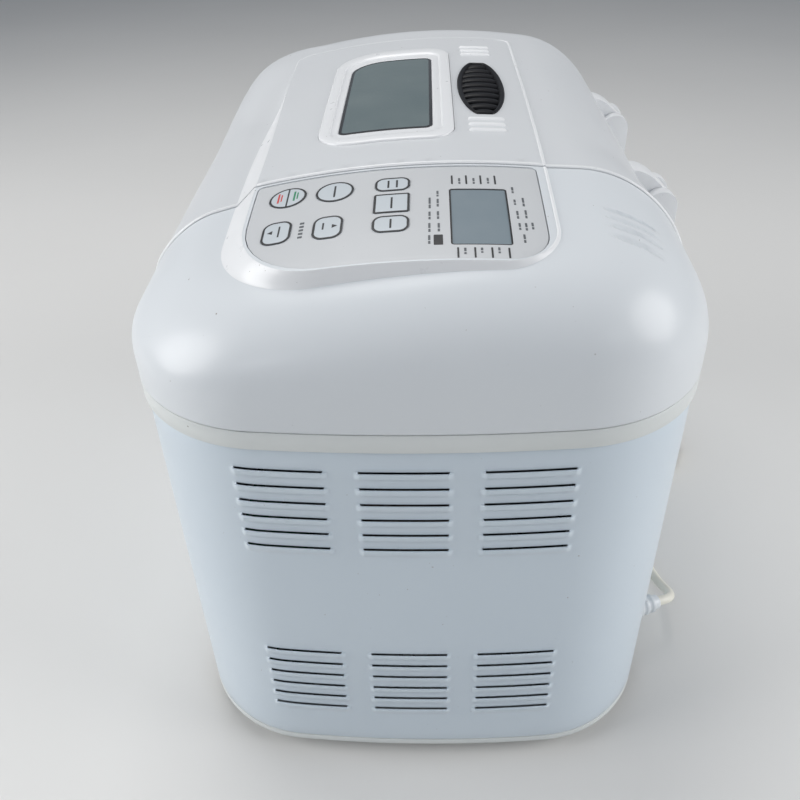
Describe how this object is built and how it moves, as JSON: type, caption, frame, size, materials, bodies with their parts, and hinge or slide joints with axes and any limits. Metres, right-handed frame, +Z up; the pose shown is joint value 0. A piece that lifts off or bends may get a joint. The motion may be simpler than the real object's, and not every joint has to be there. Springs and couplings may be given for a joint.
{
  "type": "bread machine",
  "caption": "Countertop bread machine: domed white case, hinged lid with viewing window, end control panel with keys, loaf pan, kneading drive, short coiled mains lead.",
  "frame": {"origin": "on the surface the feet stand on, midway between the two ends and midway between the cover's front and the hinges' back; the mains lead is not counted", "axes": "+X towards the control panel end, +Y towards the hinged back, +Z up; a user stands at -Y"},
  "size_m": [0.375, 0.3211, 0.2944],
  "materials": {
    "white_plastic": "glossy moulded",
    "painted_steel": "satin enamel with a fine orange peel",
    "band_plastic": "semi-gloss moulded",
    "panel_print": "printed film",
    "key_film": "printed film over rubber",
    "smoked_glass": "polished",
    "display_glass": "polished",
    "black_plastic": "glossy moulded",
    "rubber": "matte",
    "steel": "plated",
    "aluminium": "mill",
    "non_stick": "non-stick coating",
    "circuit_board": "solder mask",
    "motor_iron": "varnished laminations",
    "cord_plastic": "soft vinyl",
    "brass": "stamped"
  },
  "bodies": {
    "case": {"base_tray": "white_plastic", "foot_1": "rubber", "foot_2": "rubber", "foot_3": "rubber", "foot_4": "rubber", "foot_screw_1": "steel", "foot_screw_2": "steel", "foot_screw_3": "steel", "foot_screw_4": "steel", "body_wrap": "painted_steel", "trim_band": "band_plastic", "top_cover": "white_plastic", "panel_overlay": "panel_print", "display_lens": "display_glass", "display_module": "black_plastic", "control_board": "circuit_board", "hinge_block_1": "white_plastic", "hinge_block_2": "white_plastic", "hinge_pin_1": "steel", "hinge_pin_2": "steel", "oven_chamber": "aluminium", "heating_element": "steel", "temperature_sensor": "steel", "pan_seat": "aluminium", "chassis_plate": "steel", "bearing_housing": "aluminium", "drive_belt": "rubber", "motor_body": "motor_iron", "motor_capacitor": "black_plastic", "power_board": "circuit_board", "strain_relief": "cord_plastic", "cord_lead": "cord_plastic", "cord_coil": "cord_plastic", "cord_tie": "rubber", "plug_body": "cord_plastic", "plug_blade_1": "brass", "plug_blade_2": "brass"},
    "lid": {"lid_shell": "white_plastic", "lid_liner": "aluminium", "window_bezel": "white_plastic", "window_glass": "smoked_glass", "inner_glass": "smoked_glass", "vent_grille": "black_plastic"},
    "pan": {"bread_pan": "non_stick"},
    "handle": {"pan_handle": "steel"},
    "paddle": {"pan_shaft": "steel", "kneading_paddle": "non_stick"},
    "drive": {"drive_shaft": "steel", "drive_dog": "steel", "large_pulley": "black_plastic"},
    "rotor": {"motor_shaft": "steel", "small_pulley": "black_plastic"},
    "start_stop": {"key_start_stop": "key_film"},
    "pause": {"key_pause": "key_film"},
    "loaf_size": {"key_loaf_size": "key_film"},
    "select": {"key_select": "key_film"},
    "crust": {"key_crust": "key_film"},
    "timer_down": {"key_timer_down": "key_film"},
    "timer_up": {"key_timer_up": "key_film"}
  },
  "joints": [
    {"name": "lid_hinge", "type": "hinge", "parent": "case", "child": "lid", "pos_m": [0, 0.11875, 0.243], "axis": [-1, 0, 0], "range_deg": [0, 90]},
    {"name": "pan_lift", "type": "slide", "parent": "case", "child": "pan", "axis": [0, 0, 1], "range_m": [0, 0.05]},
    {"name": "handle_swing", "type": "hinge", "parent": "pan", "child": "handle", "pos_m": [-0.04, -0.00425, 0.207], "axis": [-1, 0, 0], "range_deg": [0, 180]},
    {"name": "drive_spin", "type": "hinge", "parent": "case", "child": "drive", "pos_m": [-0.04, -0.00425, 0.03], "axis": [0, 0, 1], "continuous": true},
    {"name": "paddle_spin", "type": "hinge", "parent": "pan", "child": "paddle", "pos_m": [-0.04, -0.00425, 0.08], "axis": [0, 0, 1], "continuous": true},
    {"name": "motor_spin", "type": "hinge", "parent": "case", "child": "rotor", "pos_m": [0.118, -0.00425, 0.03], "axis": [0, 0, 1], "continuous": true},
    {"name": "press_start_stop", "type": "slide", "parent": "case", "child": "start_stop", "axis": [0, 0, -1], "range_m": [0, 0.0008], "stiffness_N_per_m": 300, "springref_m": -0.0012},
    {"name": "press_pause", "type": "slide", "parent": "case", "child": "pause", "axis": [0, 0, -1], "range_m": [0, 0.0008], "stiffness_N_per_m": 300, "springref_m": -0.0012},
    {"name": "press_loaf_size", "type": "slide", "parent": "case", "child": "loaf_size", "axis": [0, 0, -1], "range_m": [0, 0.0008], "stiffness_N_per_m": 300, "springref_m": -0.0012},
    {"name": "press_select", "type": "slide", "parent": "case", "child": "select", "axis": [0, 0, -1], "range_m": [0, 0.0008], "stiffness_N_per_m": 300, "springref_m": -0.0012},
    {"name": "press_crust", "type": "slide", "parent": "case", "child": "crust", "axis": [0, 0, -1], "range_m": [0, 0.0008], "stiffness_N_per_m": 300, "springref_m": -0.0012},
    {"name": "press_timer_down", "type": "slide", "parent": "case", "child": "timer_down", "axis": [0, 0, -1], "range_m": [0, 0.0008], "stiffness_N_per_m": 300, "springref_m": -0.0012},
    {"name": "press_timer_up", "type": "slide", "parent": "case", "child": "timer_up", "axis": [0, 0, -1], "range_m": [0, 0.0008], "stiffness_N_per_m": 300, "springref_m": -0.0012}
  ],
  "couplings": [
    {"joint": "paddle_spin", "follows": "drive_spin", "ratio": 1},
    {"joint": "motor_spin", "follows": "drive_spin", "ratio": 4.87}
  ]
}
